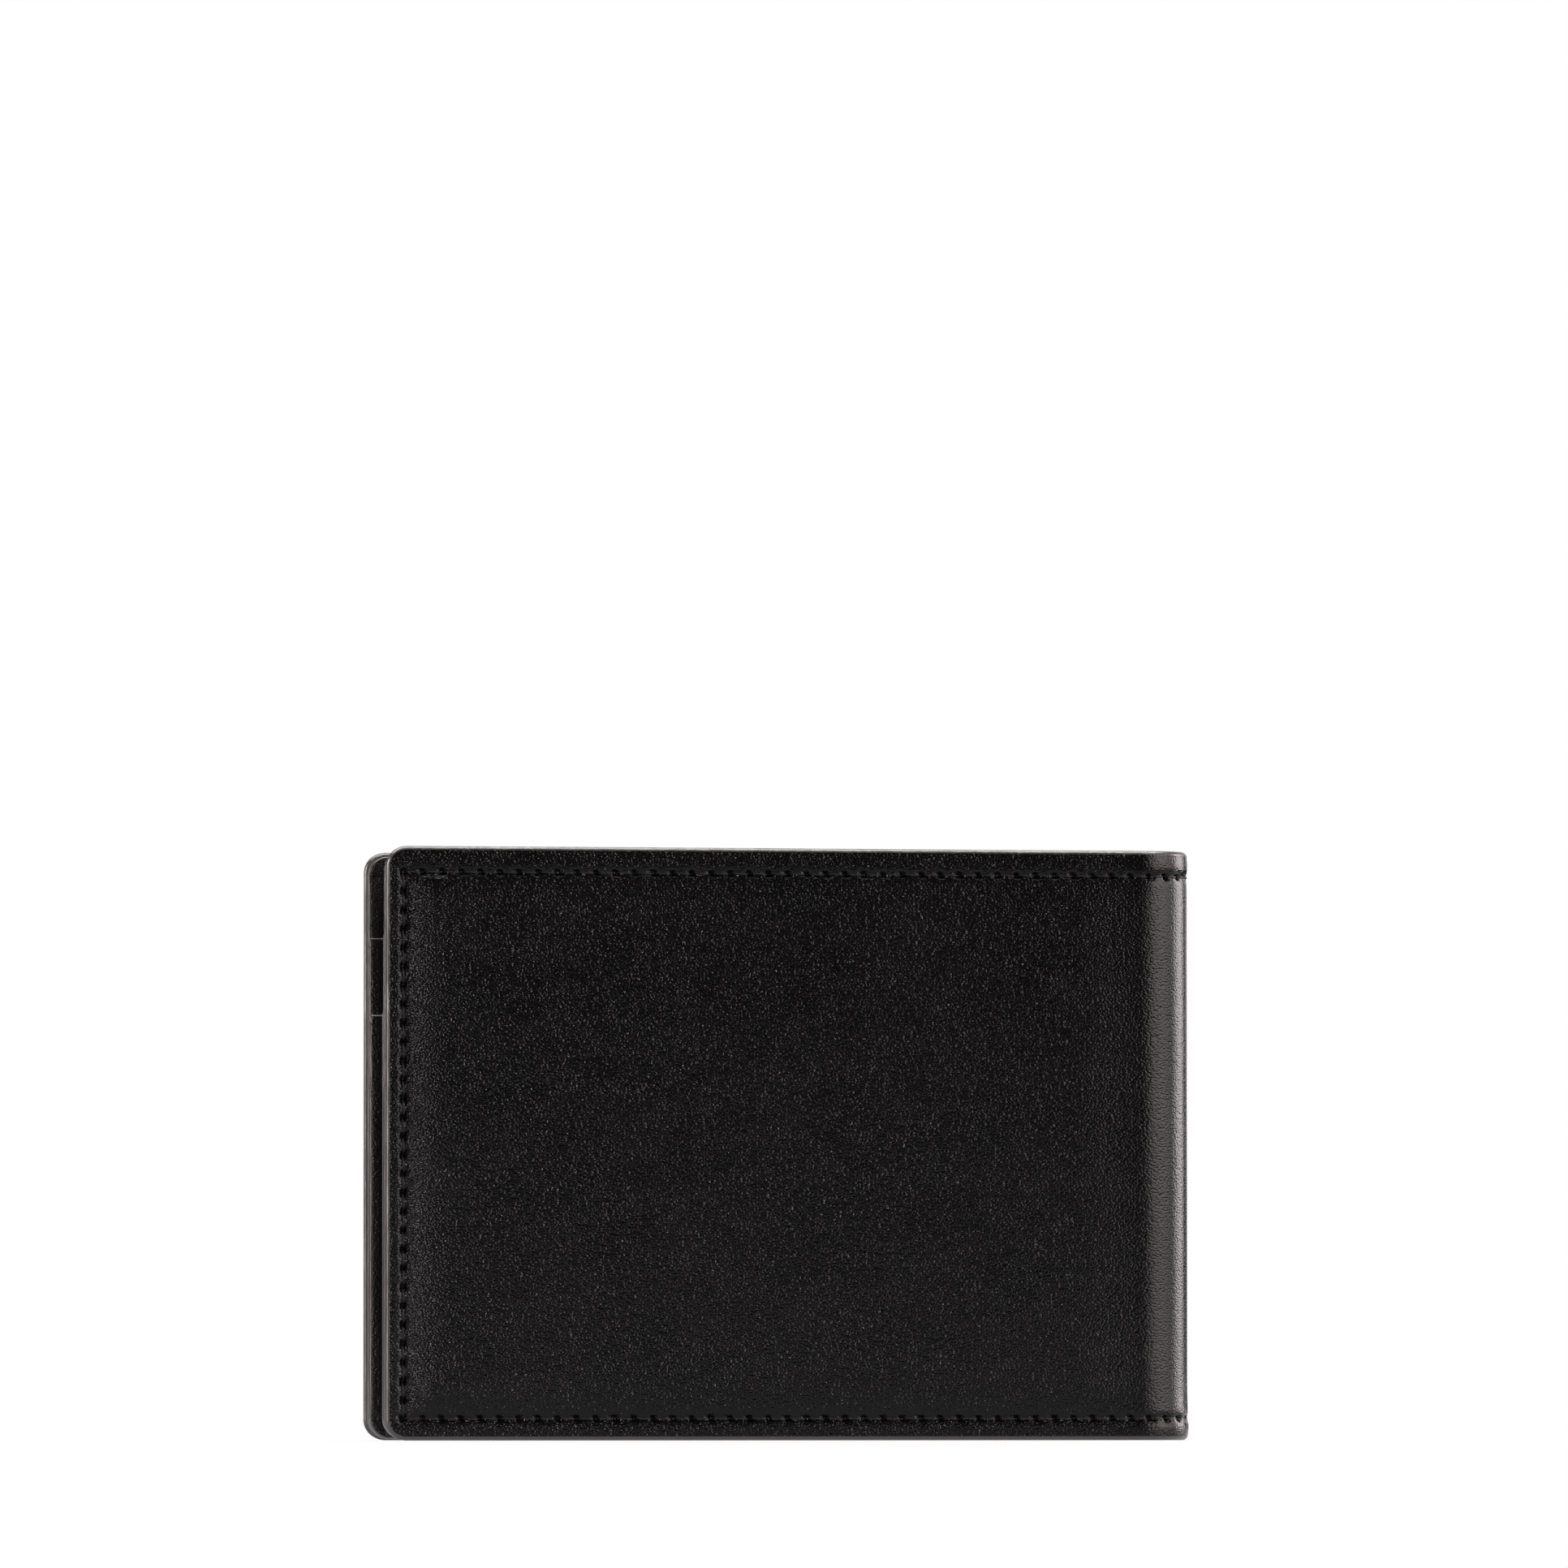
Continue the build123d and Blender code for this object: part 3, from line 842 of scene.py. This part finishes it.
    add_row(side_p, pe, top_row, False, 2.64 - 0.06)
    add_row(UPPER_TOP + 0.35, top_row, side_p, True, 2.64 - 0.06)
    add_row(LOWER_TOP + 0.35, UPPER_TOP - 0.5, side_p, True, 3.27 - 0.06)
    add_row(STITCH_BOTTOM, LOWER_TOP - 0.5, side_p, True, 3.93 - 0.06)
    add_row(side_p, pe, STITCH_BOTTOM, False, 3.93 - 0.06)
    ob = stitch_mesh(f"seam_stitches_{side}", half, rows, M_THREAD, radius=0.19, inward=True)
    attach(ob, body)
    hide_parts(f"{side}_seam_thread")
    rows = []
    add_row(LOWER_TOP + 0.35, UPPER_TOP - 0.5, pe, True, 3.27 - 0.06)
    add_row(STITCH_BOTTOM, LOWER_TOP - 0.5, pe, True, 3.93 - 0.06)
    ob = stitch_mesh(f"pocket_stitches_{side}", half, rows, M_THREAD, radius=0.19, inward=True)
    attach(ob, body)
    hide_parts(f"{side}_pocket_thread")

# ---------------------------------------------------------------- floor

me = bpy.data.meshes.new("floor")
n = 96
ring = [(0.06 + 0.26 * math.cos(2 * math.pi * i / n), 0.02 + 0.18 * math.sin(2 * math.pi * i / n), -0.00002)
        for i in range(n)]
me.from_pydata(ring, [], [list(range(n))])
me.update()
floor = bpy.data.objects.new("floor", me)
bpy.context.scene.collection.objects.link(floor)
m, nt, b = nodes_of("floor")
b.inputs["Base Color"].default_value = (0.12, 0.118, 0.118, 1)
b.inputs["Roughness"].default_value = 0.7
b.inputs["Specular IOR Level"].default_value = 0.2
b.inputs["Emission Color"].default_value = (1.0, 0.985, 0.985, 1)
b.inputs["Emission Strength"].default_value = 0.70
me.materials.append(m)

# ---------------------------------------------------------------- light


def area(name, where, aim, size, size_y, watts, colour=(1, 1, 1)):
    l = bpy.data.lights.new(name, "AREA")
    l.shape = "RECTANGLE"
    l.size, l.size_y, l.energy, l.color = size, size_y, watts, colour
    o = bpy.data.objects.new(name, l)
    o.location = where
    o.visible_camera = False
    o.rotation_mode = "QUATERNION"
    o.rotation_quaternion = (Vector(aim) - Vector(where)).to_track_quat("-Z", "Y")
    bpy.context.scene.collection.objects.link(o)
    return o


def around(az, el, r):
    """A place r metres from the wallet: az 0 in front, 90 at the fold's side, -90 at the open side."""
    a, e = math.radians(az), math.radians(el)
    return (0.05 + r * math.sin(a) * math.cos(e), -r * math.cos(a) * math.cos(e), 0.04 + r * math.sin(e))


AIM = (0.05, 0, 0.04)
TINT = (1, 0.92, 0.91)
area("top_softbox", (0.0, 0.10, 0.90), (0, 0, 0), 1.2, 0.50, 17, (1, 0.975, 0.97))
for az, watts in ((40, 3.4), (55, 4.8), (70, 3.5), (85, 1.4), (100, 6.9), (115, 5.2)):
    area(f"side_strip_{az}", around(az, 14, 1.15), AIM, 0.28, 0.70, watts, TINT)
area("left_softbox", around(-90, 14, 1.10), AIM, 0.28, 0.60, 7.3, TINT)
area("key", around(-20, 7, 1.2), AIM, 0.18, 0.18, 5.0, TINT)
area("backdrop", (0.0, 1.60, 0.75), (0, 0, 0.05), 3.4, 1.5, 14, (1, 0.95, 0.945))

world = bpy.data.worlds.new("studio")
bpy.context.scene.world = world
world.use_nodes = True
wn = world.node_tree
wn.nodes.clear()
wo = wn.nodes.new("ShaderNodeOutputWorld")
mixw = wn.nodes.new("ShaderNodeMixShader")
dim = wn.nodes.new("ShaderNodeBackground")
white = wn.nodes.new("ShaderNodeBackground")
path = wn.nodes.new("ShaderNodeLightPath")
dim.inputs["Color"].default_value = (1, 1, 1, 1)
dim.inputs["Strength"].default_value = 0.05
white.inputs["Color"].default_value = (1, 1, 1, 1)
white.inputs["Strength"].default_value = 1.0
wn.links.new(path.outputs["Is Camera Ray"], mixw.inputs[0])
wn.links.new(dim.outputs[0], mixw.inputs[1])
wn.links.new(white.outputs[0], mixw.inputs[2])
wn.links.new(mixw.outputs[0], wo.inputs[0])

# ---------------------------------------------------------------- camera, low and tipped up a little

scene = bpy.context.scene
scene.view_settings.view_transform = "Standard"
scene.view_settings.look = "None"
AZ = math.radians(-11.6)
DIST = 2.16
CAM_Z = 0.006
PITCH_UP = math.radians(2.154)
cam_data = bpy.data.cameras.new("camera")
cam_data.sensor_width = 36.0
cam_data.lens = 372.96
cam_data.clip_start, cam_data.clip_end = 0.05, 30
cam = bpy.data.objects.new("camera", cam_data)
look = Vector((math.sin(-AZ), math.cos(AZ), 0))
right = Vector((math.cos(AZ), math.sin(AZ), 0))
cam.location = right * 0.000124 - look * DIST + Vector((0, 0, CAM_Z))
cam.rotation_mode = "QUATERNION"
aim = look * math.cos(PITCH_UP) + Vector((0, 0, math.sin(PITCH_UP)))
cam.rotation_quaternion = aim.to_track_quat("-Z", "Y")
bpy.context.scene.collection.objects.link(cam)
scene.camera = cam
